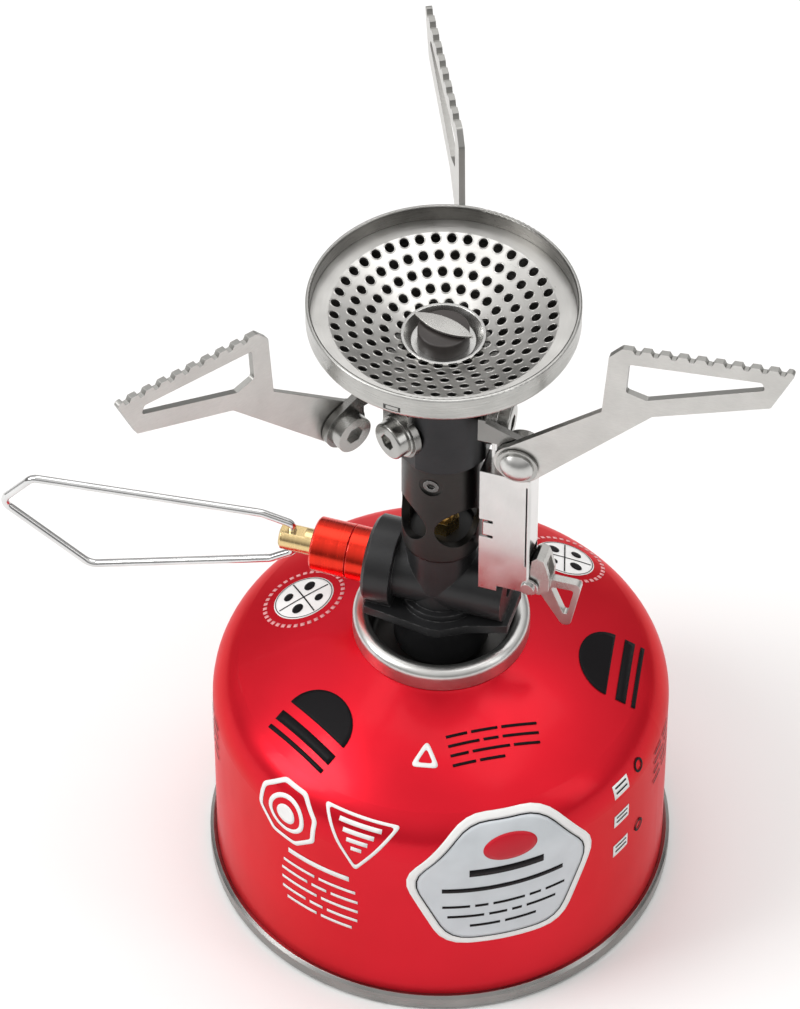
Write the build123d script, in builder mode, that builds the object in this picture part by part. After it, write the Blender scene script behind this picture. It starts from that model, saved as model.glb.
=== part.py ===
from build123d import *
import os
from math import cos, radians, sin

os.makedirs("parts", exist_ok=True)

# A canister stove screwed onto its gas canister, pot supports and valve handle unfolded.
# Millimetres. +Z is up the burner column, the origin is the centre of the canister's base,
# and the valve with its wire handle points to -X.

# ------------------------------------------------------------------ driving dimensions
# gas canister
can_r = 45.0              # outside radius of the painted wall
can_sheet = 0.5
wall_foot = 0.9           # lower edge of the painted wall, inside the bottom seam
wall_top = 43.5           # where the straight wall turns into the shoulder
shoulder_r = 11.0
shoulder_turn = 58.0      # degrees of the shoulder arc
dome_top_r, dome_top_z = 15.6, 63.0
seam_r = 46.4             # outside radius of the bottom double seam
seam_height = 3.6
chuck_r = 43.9            # inside radius of the bottom seam
panel_edge_z, panel_crown_z = 4.4, 8.6
bottom_sheet = 0.6

# valve cup crimped into the dome, with the threaded tower
cup_r = 17.3
cup_skirt_z, curl_z = 62.75, 65.7
curl_r = 1.7
cup_sheet = 0.6
cup_floor_z = 58.5
tower_r, tower_top_z = 5.5, 66.2
tower_hole_r = 1.75

# regulator body
valve_z = 77.6            # height of the valve axis
drum_r, drum_x0, drum_x1 = 8.7, -14.0, -8.3
barrel_r, barrel_x1 = 6.6, 13.6
flange_z0, flange_z1 = 70.0, 72.0
boss_r, boss_z0 = 9.3, 61.2
insert_r, insert_top_z = 7.4, 67.6
neck_r, spigot_r, spigot_top_z = 6.7, 6.2, 91.5
cavity_r, cavity_x0 = 5.2, 3.0

# burner column
tube_r, tube_bore_r = 7.78, 6.25
tube_z0, tube_z1 = 88.1, 138.6
air_hole_r, air_hole_z = 4.9, 97.6
set_screw_r, set_screw_z = 1.5, 109.7
collar_r, collar_z0, collar_z1 = 9.65, 115.7, 137.2
flat_r, flat_top_z = 9.2, 133.0

# burner head
rim_r, rim_top_z, rim_foot_z = 25.5, 152.3, 147.3
cup_wall = 0.8
dish_flange_r, dish_flange_z = 21.3, 149.0
dish_slope = 0.428        # rise of the perforated dish per millimetre of radius
dish_sheet = 0.5
dish_bore_r = 7.5
jet_hole_r = 0.9
jet_rings = [(20.2, 42), (17.1, 36), (14.0, 30), (11.0, 24), (8.15, 18)]  # radius, holes
insulator_r, insulator_z0, insulator_z1 = 4.85, 136.4, 145.2
ferrule_r = 7.9
electrode_length, electrode_width, electrode_turn = 12.4, 3.7, -12.6

# pot supports, three round the column
support_angles = [1.5, 117.9, 237.2]   # directions of the supports, degrees from +X
pivot_r, pivot_z = 17.3, 124.0
arm_near, arm_sheet = -9.2, 1.2        # near face beside the column axis, thickness
arm_root_r = 4.6
bracket_sheet = 1.4
bracket_near = -7.6
bracket_screw_z = 123.6
fold_z = 129.6             # middle of the fold that joins a bracket's two legs
pivot_shaft_r = 1.8
pivot_clear = 0.05
teeth = 10

# valve spindle and wire handle
spindle_r, spindle_x0, spindle_x1 = 2.6, -32.6, -6.0
sleeve_r, sleeve_x0, sleeve_split_x, sleeve_x1 = 5.4, -25.5, -18.3, -14.0
handle_pivot_x = -30.3
handle_swing = 7.5        # degrees that the handle stands towards -Y
wire_r = 0.8
run_clear = 0.05          # radial clearance of a running fit

# spark igniter on the +X side
box_x0, box_x1 = 9.0, 19.0
box_y0, box_y1 = -5.6, 0.4
box_z0, box_z1 = 82.5, 115.0
box_back_z0 = 84.9        # foot of the back wall, over the regulator barrel
box_sheet = 0.5
lever_x, lever_z = 18.8, 85.4
lever_pin_r = 1.0
plunger_x, plunger_r, plunger_z0, plunger_z1 = 15.2, 1.7, 85.15, 98.0
striker_x0, striker_x1 = 10.4, 17.7
striker_z0, striker_z1 = 88.5, 113.4

# ------------------------------------------------------------------ shared helpers

def outward(azimuth):
    """Unit vector away from the column axis in a direction given in degrees from +X."""
    return Vector(cos(radians(azimuth)), sin(radians(azimuth)), 0)


def facing_plane(azimuth, distance, height=0.0):
    """Upright plane that faces outward: local x round the column, local y up."""
    u = outward(azimuth)
    n = Vector(-u.Y, u.X, 0)
    return Plane(origin=u * distance + Vector(0, 0, height), x_dir=n, z_dir=u)


def side_plane(azimuth, distance, along=0.0, height=0.0):
    """Upright plane beside the column: local x outward, local y up, facing clockwise."""
    u = outward(azimuth)
    n = Vector(-u.Y, u.X, 0)
    return Plane(origin=n * distance + u * along + Vector(0, 0, height), x_dir=u, z_dir=-n)


def dish_z(radius):
    """Height of the top face of the perforated dish."""
    return dish_flange_z - (dish_flange_r - radius) * dish_slope


# ------------------------------------------------------------------ gas canister
with BuildPart() as canister_shell:
    with BuildSketch(Plane.XZ):
        with BuildLine():
            wall = Line((can_r, wall_foot), (can_r, wall_top))
            shoulder = JernArc(wall @ 1, wall % 1, shoulder_r, shoulder_turn)
            TangentArc(shoulder @ 1, (dome_top_r, dome_top_z), tangent=shoulder % 1)
            offset(amount=can_sheet, side=Side.LEFT)
        make_face()
    revolve(axis=Axis.Z)
canister_shell.part.label = "canister_shell"
export_step(canister_shell.part, "parts/canister_shell.step")

# concave bottom panel, its chuck wall and the double seam that grips the wall
with BuildPart() as canister_base:
    with BuildSketch(Plane.XZ):
        with BuildLine():
            Polyline(
                (chuck_r, panel_edge_z),
                (chuck_r, 0.6),
                (chuck_r + 0.6, 0),
                (seam_r - 0.6, 0),
                (seam_r, 0.6),
                (seam_r, seam_height - 0.6),
                (seam_r - 0.6, seam_height),
                (can_r, seam_height - 0.2),
                (can_r, wall_foot),
                (can_r - can_sheet, wall_foot),
                (can_r - can_sheet, panel_edge_z),
                (chuck_r, panel_edge_z + bottom_sheet),
            )
            TangentArc(
                (0, panel_crown_z + bottom_sheet), (chuck_r, panel_edge_z + bottom_sheet), tangent=(1, 0)
            )
            Line((0, panel_crown_z + bottom_sheet), (0, panel_crown_z))
            TangentArc((0, panel_crown_z), (chuck_r, panel_edge_z), tangent=(1, 0))
        make_face()
    revolve(axis=Axis.Z)
canister_base.part.label = "canister_base"
export_step(canister_base.part, "parts/canister_base.step")

# rolled cup: skirt, curl, inner wall, floor and the tower that the stove screws onto
with BuildPart() as valve_cup:
    inner_wall_r = cup_r - 2 * curl_r
    with BuildSketch(Plane.XZ):
        with BuildLine():
            skirt = Line((cup_r, cup_skirt_z), (cup_r, curl_z))
            curl = JernArc(skirt @ 1, skirt % 1, curl_r, 180)
            FilletPolyline(
                curl @ 1,
                (inner_wall_r, cup_floor_z),
                (tower_r, cup_floor_z),
                (tower_r, tower_top_z),
                (tower_hole_r, tower_top_z),
                radius=1.0,
            )
            offset(amount=cup_sheet, side=Side.LEFT)
        make_face()
    revolve(axis=Axis.Z)
valve_cup.part.label = "valve_cup"
export_step(valve_cup.part, "parts/valve_cup.step")

# parts inside the tower: gasket, sprung stem and the plastic housing that carries them
tower_under = tower_top_z - cup_sheet
with BuildPart() as canister_gasket:
    with BuildSketch(Plane.XY.offset(tower_under - 1.2)):
        Circle(4.4)
        Circle(1.55, mode=Mode.SUBTRACT)
    extrude(amount=1.2)
canister_gasket.part.label = "canister_gasket"
export_step(canister_gasket.part, "parts/canister_gasket.step")

with BuildPart() as canister_stem:
    with BuildSketch(Plane.XY.offset(55.5)):
        Circle(1.5)
    extrude(amount=9.7)
    with BuildSketch(Plane.XY.offset(61.8)):
        Circle(2.6)
    extrude(amount=1.6)
canister_stem.part.label = "canister_stem"
export_step(canister_stem.part, "parts/canister_stem.step")

with BuildPart() as canister_valve_housing:
    with BuildSketch(Plane.XY.offset(51.5)):
        Circle(4.4)
    extrude(amount=tower_under - 1.2 - 51.5)
    with BuildSketch(Plane.XY.offset(53.0)):
        Circle(3.0)
    extrude(amount=20, mode=Mode.SUBTRACT)
    with BuildSketch(Plane.XY.offset(51.5)):
        Circle(0.9)
    extrude(amount=5, mode=Mode.SUBTRACT)
canister_valve_housing.part.label = "canister_valve_housing"
export_step(canister_valve_housing.part, "parts/canister_valve_housing.step")


def coil_spring(plane, turns, pitch, radius, wire):
    """A round-wire compression spring that starts on the plane and stands along its normal."""
    with BuildPart() as spring:
        with BuildLine():
            path = Helix(pitch, pitch * turns, radius, center=plane.origin, direction=plane.z_dir)
        with BuildSketch(Plane(origin=path @ 0, z_dir=path % 0)):
            Circle(wire)
        sweep()
    return spring


canister_spring = coil_spring(Plane.XY.offset(53.6), 5, 1.5, 2.2, 0.3)
canister_spring.part.label = "canister_spring"
export_step(canister_spring.part, "parts/canister_spring.step")

# ------------------------------------------------------------------ regulator body
with BuildPart() as regulator_body:
    with BuildSketch(Plane.YZ.offset(drum_x0)):
        with Locations((0, valve_z)):
            Circle(drum_r)
        with Locations((0, (flange_z0 + valve_z) / 2)):
            Rectangle(2 * drum_r - 4, valve_z - flange_z0)
    extrude(amount=drum_x1 - drum_x0)
    chamfer(regulator_body.faces().sort_by(Axis.X)[0].edges(), length=0.7)
    with BuildSketch(Plane.YZ.offset(drum_x1)):
        with Locations((0, valve_z)):
            Circle(barrel_r)
    extrude(amount=barrel_x1 - drum_x1)
    # winged flange that seats over the canister's valve cup
    with BuildSketch(Plane.XY.offset(flange_z0)):
        Circle(boss_r)
        with BuildLine():
            wing = Polyline(
                (-13.4, 0), (-13.4, 8.0), (0.2, 10.0), (2.6, 9.8), (7.2, 7.1), (14.7, 4.8), (14.7, 0)
            )
            mirror(wing, about=Plane.XZ)
        make_face()
    extrude(amount=flange_z1 - flange_z0)
    # stepped round pad between the flange and the barrel, and the neck under the tube
    with BuildSketch(Plane.XY.offset(flange_z1)):
        Circle(7.9)
    extrude(amount=1.5)
    with BuildSketch(Plane.XY.offset(flange_z1 + 1.5)):
        Circle(6.6)
    extrude(amount=valve_z - flange_z1 - 1.5)
    with BuildSketch(Plane.XY.offset(valve_z)):
        Circle(neck_r)
    extrude(amount=tube_z0 - valve_z)
    with BuildSketch(Plane.XY.offset(tube_z0)):
        Circle(spigot_r)
    extrude(amount=spigot_top_z - tube_z0)
    # boss that enters the valve cup
    with BuildSketch(Plane.XY.offset(boss_z0)):
        Circle(boss_r)
    extrude(amount=flange_z0 - boss_z0)
    # bores: canister connector, gas way up to the jet, valve spindle, regulator chamber
    with BuildSketch(Plane.XY.offset(boss_z0)):
        Circle(insert_r)
    extrude(amount=insert_top_z - boss_z0, mode=Mode.SUBTRACT)
    with BuildSketch(Plane.XY.offset(insert_top_z)):
        Circle(1.6)
    extrude(amount=valve_z - insert_top_z, mode=Mode.SUBTRACT)
    with BuildSketch(Plane.YZ.offset(drum_x0)):
        with Locations((0, valve_z)):
            Circle(spindle_r + run_clear)
    extrude(amount=13.0, mode=Mode.SUBTRACT)
    with BuildSketch(Plane.YZ.offset(drum_x0)):
        with Locations((0, valve_z)):
            Circle(1.0)
    extrude(amount=cavity_x0 - drum_x0, mode=Mode.SUBTRACT)
    with BuildSketch(Plane.YZ.offset(cavity_x0)):
        with Locations((0, valve_z)):
            Circle(cavity_r)
    extrude(amount=barrel_x1 - cavity_x0, mode=Mode.SUBTRACT)
    with BuildSketch(Plane.XY.offset(83.0)):
        Circle(2.5)
    extrude(amount=10, mode=Mode.SUBTRACT)
    with BuildSketch(Plane.XY.offset(valve_z)):
        Circle(0.9)
    extrude(amount=8, mode=Mode.SUBTRACT)
regulator_body.part.label = "regulator_body"
export_step(regulator_body.part, "parts/regulator_body.step")

# brass threaded insert that grips the canister's tower
with BuildPart() as canister_connector:
    with BuildSketch(Plane.XY.offset(boss_z0)):
        Circle(insert_r)
        Circle(tower_r + 0.06, mode=Mode.SUBTRACT)
    extrude(amount=insert_top_z - boss_z0)
canister_connector.part.label = "canister_connector"
export_step(canister_connector.part, "parts/canister_connector.step")

# rubber face seal pressed on the tower
with BuildPart() as connector_seal:
    with BuildSketch(Plane.XY.offset(tower_top_z)):
        Circle(tower_r)
        Circle(3.2, mode=Mode.SUBTRACT)
    extrude(amount=insert_top_z - tower_top_z)
connector_seal.part.label = "connector_seal"
export_step(connector_seal.part, "parts/connector_seal.step")

# hollow pin that holds the canister's valve open
with BuildPart() as depressor_pin:
    with BuildSketch(Plane.XY.offset(65.2)):
        Circle(1.3)
    extrude(amount=2.4)
    with BuildSketch(Plane.XY.offset(insert_top_z)):
        Circle(1.6)
    extrude(amount=3.0)
    with BuildSketch(Plane.XY.offset(65.2)):
        Circle(0.5)
    extrude(amount=10, mode=Mode.SUBTRACT)
depressor_pin.part.label = "depressor_pin"
export_step(depressor_pin.part, "parts/depressor_pin.step")

# diaphragm, its spring and the adjusting cap in the regulator chamber
diaphragm_x = cavity_x0 + 1.2
cap_x = barrel_x1 - 2.4
with BuildPart() as regulator_diaphragm:
    with BuildSketch(Plane.YZ.offset(diaphragm_x)):
        with Locations((0, valve_z)):
            Circle(cavity_r)
    extrude(amount=0.6)
    with BuildSketch(Plane.YZ.offset(diaphragm_x + 0.6)):
        with Locations((0, valve_z)):
            Circle(3.4)
    extrude(amount=0.8)
regulator_diaphragm.part.label = "regulator_diaphragm"
export_step(regulator_diaphragm.part, "parts/regulator_diaphragm.step")

spring_wire = 0.4
spring_start_x = diaphragm_x + 1.4 + spring_wire
spring_turns = 4
spring_pitch = (cap_x - spring_wire - spring_start_x) / spring_turns
regulator_spring = coil_spring(
    Plane(origin=(spring_start_x, 0, valve_z), z_dir=(1, 0, 0)), spring_turns, spring_pitch, 2.6, spring_wire
)
regulator_spring.part.label = "regulator_spring"
export_step(regulator_spring.part, "parts/regulator_spring.step")

with BuildPart() as regulator_cap:
    with BuildSketch(Plane.YZ.offset(cap_x)):
        with Locations((0, valve_z)):
            Circle(cavity_r)
    extrude(amount=barrel_x1 - cap_x)
    with BuildSketch(Plane.YZ.offset(barrel_x1)):
        with Locations((0, valve_z)):
            RegularPolygon(radius=2.0, side_count=6)
    extrude(amount=-1.4, mode=Mode.SUBTRACT)
regulator_cap.part.label = "regulator_cap"
export_step(regulator_cap.part, "parts/regulator_cap.step")

# ------------------------------------------------------------------ burner column
with BuildPart() as gas_jet:
    with BuildSketch(Plane.XY.offset(83.0)):
        Circle(2.5)
    extrude(amount=spigot_top_z - 83.0)
    with BuildSketch(Plane.XY.offset(spigot_top_z)):
        RegularPolygon(radius=3.4, side_count=6)
    extrude(amount=3.2)
    with BuildSketch(Plane.XY.offset(spigot_top_z + 3.2)):
        Circle(2.2)
    extrude(amount=3.4, taper=12)
    with BuildSketch(Plane.XY.offset(83.0)):
        Circle(0.8)
    extrude(amount=12.4, mode=Mode.SUBTRACT)
    with BuildSketch(Plane.XY.offset(83.0)):
        Circle(0.2)
    extrude(amount=20, mode=Mode.SUBTRACT)
gas_jet.part.label = "gas_jet"
export_step(gas_jet.part, "parts/gas_jet.step")

with BuildPart() as mixing_tube:
    with BuildSketch(Plane.XY.offset(tube_z0)):
        Circle(tube_r)
        Circle(tube_bore_r, mode=Mode.SUBTRACT)
    extrude(amount=tube_z1 - tube_z0)
    foot_edge = mixing_tube.faces().sort_by(Axis.Z)[0].edges().sort_by(SortBy.LENGTH)[-1]
    fillet(foot_edge, radius=1.2)
    # four air holes, crossing through in pairs
    for azimuth in (45, 135):
        with BuildSketch(facing_plane(azimuth, 0, air_hole_z)):
            Circle(air_hole_r)
        extrude(amount=2 * tube_r, both=True, mode=Mode.SUBTRACT)
    for azimuth in support_angles:
        with BuildSketch(facing_plane(azimuth, 0, bracket_screw_z)):
            Circle(2.0)
        extrude(amount=2 * tube_r, mode=Mode.SUBTRACT)
    with BuildSketch(facing_plane(-90, 0, set_screw_z)):
        Circle(set_screw_r)
    extrude(amount=2 * tube_r, mode=Mode.SUBTRACT)
    with BuildSketch(facing_plane(-90, tube_r - 0.45, set_screw_z)):
        Circle(2.3)
    extrude(amount=2, mode=Mode.SUBTRACT)
mixing_tube.part.label = "mixing_tube"
export_step(mixing_tube.part, "parts/mixing_tube.step")

with BuildPart() as tube_set_screw:
    with BuildSketch(facing_plane(-90, tube_bore_r + 0.05, set_screw_z)):
        Circle(set_screw_r)
    extrude(amount=1.2)
    with BuildSketch(facing_plane(-90, tube_r - 0.9, set_screw_z)):
        RegularPolygon(radius=0.85, side_count=6)
    extrude(amount=2, mode=Mode.SUBTRACT)
tube_set_screw.part.label = "tube_set_screw"
export_step(tube_set_screw.part, "parts/tube_set_screw.step")

# thick collar that carries the pot supports, with a flat under each bracket
with BuildPart() as burner_collar:
    with BuildSketch(Plane.XY.offset(collar_z0)):
        Circle(collar_r)
        Circle(tube_r, mode=Mode.SUBTRACT)
    extrude(amount=collar_z1 - collar_z0)
    for azimuth in support_angles:
        with BuildSketch(facing_plane(azimuth, flat_r)):
            with Locations((0, (collar_z0 + flat_top_z) / 2)):
                Rectangle(8, flat_top_z - collar_z0)
        extrude(amount=2, mode=Mode.SUBTRACT)
        with BuildSketch(facing_plane(azimuth, 0, bracket_screw_z)):
            Circle(2.0)
        extrude(amount=2 * collar_r, mode=Mode.SUBTRACT)
burner_collar.part.label = "burner_collar"
export_step(burner_collar.part, "parts/burner_collar.step")

# ------------------------------------------------------------------ burner head
with BuildPart() as burner_cup:
    with BuildSketch(Plane.XZ):
        with BuildLine():
            FilletPolyline(
                (tube_r + 0.02, collar_z1),
                (10.6, collar_z1),
                (rim_r - 2.4, rim_foot_z - 1.2),
                (rim_r, rim_foot_z),
                (rim_r, rim_top_z),
                radius=1.0,
            )
            offset(amount=cup_wall, side=Side.LEFT)
        make_face()
    revolve(axis=Axis.Z)
    lip = burner_cup.faces().sort_by(Axis.Z)[-1].edges()
    fillet(lip, radius=0.3)
burner_cup.part.label = "burner_cup"
export_step(burner_cup.part, "parts/burner_cup.step")

with BuildPart() as burner_dish:
    with BuildSketch(Plane.XZ):
        with BuildLine():
            Polyline(
                (rim_r - cup_wall - 0.02, dish_flange_z),
                (dish_flange_r, dish_flange_z),
                (dish_bore_r, dish_z(dish_bore_r)),
                (dish_bore_r, dish_z(dish_bore_r) - dish_sheet),
                (dish_flange_r + 0.1, dish_flange_z - dish_sheet),
                (rim_r - cup_wall - 0.02, dish_flange_z - dish_sheet),
                close=True,
            )
        make_face()
    revolve(axis=Axis.Z)
    with BuildSketch(Plane.XY.offset(dish_z(0) - 3)):
        for ring_r, holes in jet_rings:
            with PolarLocations(ring_r, holes):
                Circle(jet_hole_r)
    extrude(amount=16, mode=Mode.SUBTRACT)
burner_dish.part.label = "burner_dish"
export_step(burner_dish.part, "parts/burner_dish.step")

# pressed well round the igniter
with BuildPart() as igniter_ferrule:
    lip_z = dish_z(ferrule_r) + 0.55
    well_z = 141.9
    with BuildSketch(Plane.XZ):
        with BuildLine():
            Polyline(
                (ferrule_r, lip_z),
                (ferrule_r - 0.5, lip_z),
                (insulator_r + 1.2, well_z),
                (insulator_r, well_z),
                (insulator_r, well_z - 0.5),
                (insulator_r + 1.4, well_z - 0.5),
                (ferrule_r - 0.3, lip_z - 0.45),
                (ferrule_r, lip_z - 0.45),
                close=True,
            )
        make_face()
    revolve(axis=Axis.Z)
igniter_ferrule.part.label = "igniter_ferrule"
export_step(igniter_ferrule.part, "parts/igniter_ferrule.step")

with BuildPart() as igniter_insulator:
    with BuildSketch(Plane.XY.offset(insulator_z0)):
        Circle(insulator_r)
    extrude(amount=insulator_z1 - insulator_z0)
    fillet(igniter_insulator.edges().group_by(Axis.Z)[-1], radius=0.3)
    with BuildSketch(Plane.XY.offset(insulator_z0)):
        Circle(0.8)
    extrude(amount=20, mode=Mode.SUBTRACT)
igniter_insulator.part.label = "igniter_insulator"
export_step(igniter_insulator.part, "parts/igniter_insulator.step")

# leaf-shaped spark electrode on its stem
with BuildPart() as igniter_electrode:
    leaf_plane = Plane(origin=(0, 0, insulator_z1 + 0.5), x_dir=outward(electrode_turn), z_dir=(0, 0, 1))
    half_l, half_w = electrode_length / 2, electrode_width / 2
    with BuildSketch(leaf_plane):
        with BuildLine():
            ThreePointArc((-half_l, 0), (0, half_w), (half_l, 0))
            ThreePointArc((-half_l, 0), (0, -half_w), (half_l, 0))
        make_face()
    extrude(amount=0.5)
    with BuildSketch(Plane.XY.offset(insulator_z0 - 4)):
        Circle(0.8)
    extrude(amount=insulator_z1 + 0.5 - insulator_z0 + 4)
igniter_electrode.part.label = "igniter_electrode"
export_step(igniter_electrode.part, "parts/igniter_electrode.step")

# ------------------------------------------------------------------ pot supports
tooth_line = [(36.3, 160.2), (68.5, 162.9)]     # inner and outer end of the toothed edge


def support_arm(azimuth):
    """One toothed pot support, a flat plate with a triangular window and a round root."""
    pitch = (tooth_line[1][0] - tooth_line[0][0]) / (teeth - 0.4)
    rise = (tooth_line[1][1] - tooth_line[0][1]) / (tooth_line[1][0] - tooth_line[0][0])
    with BuildPart() as arm:
        with BuildSketch(side_plane(azimuth, arm_near)):
            with BuildLine():
                Polyline(
                    (pivot_r + 2.9, pivot_z - 3.6),
                    (42.4, 144.2),
                    (64.2, 152.8),
                    tooth_line[1],
                    tooth_line[0],
                    (33.9, 157.4),
                    (32.9, 142.8),
                    (pivot_r - 3.5, pivot_z + 2.9),
                    close=True,
                )
            make_face()
            # the triangular window
            with BuildLine():
                Polyline(
                    (37.7, 156.6), (37.3, 149.2), (41.3, 148.1), (63.0, 157.0), (62.4, 158.9), close=True
                )
            make_face(mode=Mode.SUBTRACT)
            fillet(vertices().filter_by(lambda v: v.Y > pivot_z + 20), radius=0.7)
            with Locations((pivot_r, pivot_z)):
                Circle(arm_root_r)
                Circle(pivot_shaft_r + pivot_clear, mode=Mode.SUBTRACT)
            # notches between the teeth
            for k in range(teeth - 1):
                x = tooth_line[0][0] + pitch * (k + 0.85)
                z = tooth_line[0][1] + rise * (x - tooth_line[0][0])
                with Locations((x, z)):
                    Polygon(
                        (-1.2, 0.6), (-0.4, -1.0), (0.4, -1.0), (1.2, 0.6), align=None, mode=Mode.SUBTRACT
                    )
        extrude(amount=arm_sheet)
    return arm


for number, azimuth in enumerate(support_angles, 1):
    arm = support_arm(azimuth)
    arm.part.label = f"pot_support_{number}"
    export_step(arm.part, f"parts/pot_support_{number}.step")


def support_bracket(azimuth):
    """Folded bracket: one leg lies on the collar, the other stands out beside the arm."""
    with BuildPart() as bracket:
        with BuildSketch(facing_plane(azimuth, flat_r)):
            with Locations((0, bracket_screw_z)):
                Circle(4.8)
            with Locations(((bracket_near - bracket_sheet) / 2, fold_z)):
                Rectangle(-(bracket_near - bracket_sheet), 5.6)
            with Locations((-1.2, bracket_screw_z + 3)):
                Rectangle(7.2, 7.0)
            with Locations((0, bracket_screw_z)):
                Circle(2.0, mode=Mode.SUBTRACT)
        extrude(amount=bracket_sheet)
        with BuildSketch(side_plane(azimuth, bracket_near)):
            with BuildLine():
                Polyline(
                    (flat_r, fold_z - 2.8),
                    (flat_r, fold_z + 2.8),
                    (pivot_r + 1, pivot_z + arm_root_r - 0.1),
                    (pivot_r, pivot_z - arm_root_r),
                    (pivot_r - 4.4, pivot_z - arm_root_r + 2),
                    (pivot_r - 4.4, fold_z - 2.8),
                    close=True,
                )
            make_face()
            with Locations((pivot_r, pivot_z)):
                Circle(arm_root_r)
                Circle(pivot_shaft_r, mode=Mode.SUBTRACT)
        extrude(amount=bracket_sheet)
    return bracket


for number, azimuth in enumerate(support_angles, 1):
    bracket = support_bracket(azimuth)
    bracket.part.label = f"support_bracket_{number}"
    export_step(bracket.part, f"parts/support_bracket_{number}.step")

# screws that hold the brackets, heads outward, and their washers
washer_z0 = flat_r + bracket_sheet
screw_seat = washer_z0 + 0.6
with BuildPart() as bracket_screws:
    for azimuth in support_angles:
        with BuildSketch(facing_plane(azimuth, tube_bore_r + 0.1, bracket_screw_z)):
            Circle(2.0)
        extrude(amount=screw_seat - tube_bore_r - 0.1)
        with BuildSketch(facing_plane(azimuth, screw_seat, bracket_screw_z)):
            Circle(3.75)
        extrude(amount=2.4)
    heads = bracket_screws.faces().filter_by(GeomType.PLANE).group_by(SortBy.AREA)[-1]
    fillet([e for f in heads for e in f.edges() if abs(e.radius - 3.75) < 0.01], radius=0.5)
    for azimuth in support_angles:
        with BuildSketch(facing_plane(azimuth, screw_seat + 2.4, bracket_screw_z)):
            RegularPolygon(radius=1.75, side_count=6)
        extrude(amount=-1.6, mode=Mode.SUBTRACT)
bracket_screws.part.label = "bracket_screws"
export_step(bracket_screws.part, "parts/bracket_screws.step")

with BuildPart() as bracket_washers:
    for azimuth in support_angles[1:]:
        with BuildSketch(facing_plane(azimuth, washer_z0, bracket_screw_z)):
            Circle(4.3)
            Circle(2.0, mode=Mode.SUBTRACT)
        extrude(amount=0.6)
bracket_washers.part.label = "bracket_washers"
export_step(bracket_washers.part, "parts/bracket_washers.step")

# pivots: a domed bolt through arm and bracket, a washer under its head, a socket nut
washer_near = arm_near - arm_sheet - 0.15
dome_seat = washer_near - 0.5
nut_face = bracket_near + 2.7
shaft_end = bracket_near + 1.2
dome_r, dome_height = 3.2, 2.0
with BuildPart() as pivot_bolts:
    for azimuth in support_angles:
        seat = side_plane(azimuth, dome_seat, pivot_r, pivot_z)
        # half outline of shaft and dome, turned about the bolt's axis
        with BuildSketch(Plane(origin=seat.origin, x_dir=outward(azimuth), z_dir=(0, 0, -1))):
            with BuildLine():
                Polyline(
                    (0, dome_height),
                    (0, dome_seat - shaft_end),
                    (pivot_shaft_r, dome_seat - shaft_end),
                    (pivot_shaft_r, 0),
                    (dome_r, 0),
                    (dome_r, 0.4),
                )
                TangentArc((0, dome_height), (dome_r, 0.4), tangent=(1, 0))
            make_face()
        revolve(axis=Axis(seat.origin, seat.z_dir))
pivot_bolts.part.label = "pivot_bolts"
export_step(pivot_bolts.part, "parts/pivot_bolts.step")

with BuildPart() as pivot_washers:
    for azimuth in support_angles:
        with BuildSketch(side_plane(azimuth, washer_near, pivot_r, pivot_z)):
            Circle(4.0)
            Circle(pivot_shaft_r, mode=Mode.SUBTRACT)
        extrude(amount=0.5)
pivot_washers.part.label = "pivot_washers"
export_step(pivot_washers.part, "parts/pivot_washers.step")

with BuildPart() as pivot_nuts:
    for azimuth in support_angles:
        with BuildSketch(side_plane(azimuth, nut_face, pivot_r, pivot_z)):
            Circle(3.8)
        extrude(amount=nut_face - bracket_near)
        with BuildSketch(side_plane(azimuth, shaft_end, pivot_r, pivot_z)):
            Circle(pivot_shaft_r)
        extrude(amount=shaft_end - bracket_near, mode=Mode.SUBTRACT)
        with BuildSketch(side_plane(azimuth, nut_face, pivot_r, pivot_z)):
            RegularPolygon(radius=1.9, side_count=6)
        extrude(amount=nut_face - shaft_end, mode=Mode.SUBTRACT)
pivot_nuts.part.label = "pivot_nuts"
export_step(pivot_nuts.part, "parts/pivot_nuts.step")

# ------------------------------------------------------------------ valve and handle
with BuildPart() as valve_sleeve:
    with BuildSketch(Plane.YZ.offset(sleeve_x0)):
        with Locations((0, valve_z)):
            Circle(sleeve_r)
            Circle(spindle_r + run_clear, mode=Mode.SUBTRACT)
    extrude(amount=sleeve_split_x - sleeve_x0)
    chamfer(valve_sleeve.faces().sort_by(Axis.X)[0].edges().sort_by(SortBy.LENGTH)[-1], length=0.35)
    # recess for the seal at the inner end
    with BuildSketch(Plane.YZ.offset(sleeve_split_x)):
        with Locations((0, valve_z)):
            Circle(3.9)
    extrude(amount=-1.4, mode=Mode.SUBTRACT)
valve_sleeve.part.label = "valve_sleeve"
export_step(valve_sleeve.part, "parts/valve_sleeve.step")

with BuildPart() as sleeve_ring:
    with BuildSketch(Plane.YZ.offset(sleeve_split_x)):
        with Locations((0, valve_z)):
            Circle(sleeve_r)
            Circle(spindle_r + run_clear, mode=Mode.SUBTRACT)
    extrude(amount=sleeve_x1 - sleeve_split_x)
    chamfer(sleeve_ring.faces().sort_by(Axis.X)[0].edges().sort_by(SortBy.LENGTH)[-1], length=0.3)
sleeve_ring.part.label = "sleeve_ring"
export_step(sleeve_ring.part, "parts/sleeve_ring.step")

with BuildPart() as spindle_seal:
    with BuildSketch(Plane.YZ.offset(sleeve_split_x - 1.4)):
        with Locations((0, valve_z)):
            Circle(3.9)
            Circle(spindle_r + run_clear, mode=Mode.SUBTRACT)
    extrude(amount=1.4)
spindle_seal.part.label = "spindle_seal"
export_step(spindle_seal.part, "parts/spindle_seal.step")

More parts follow.
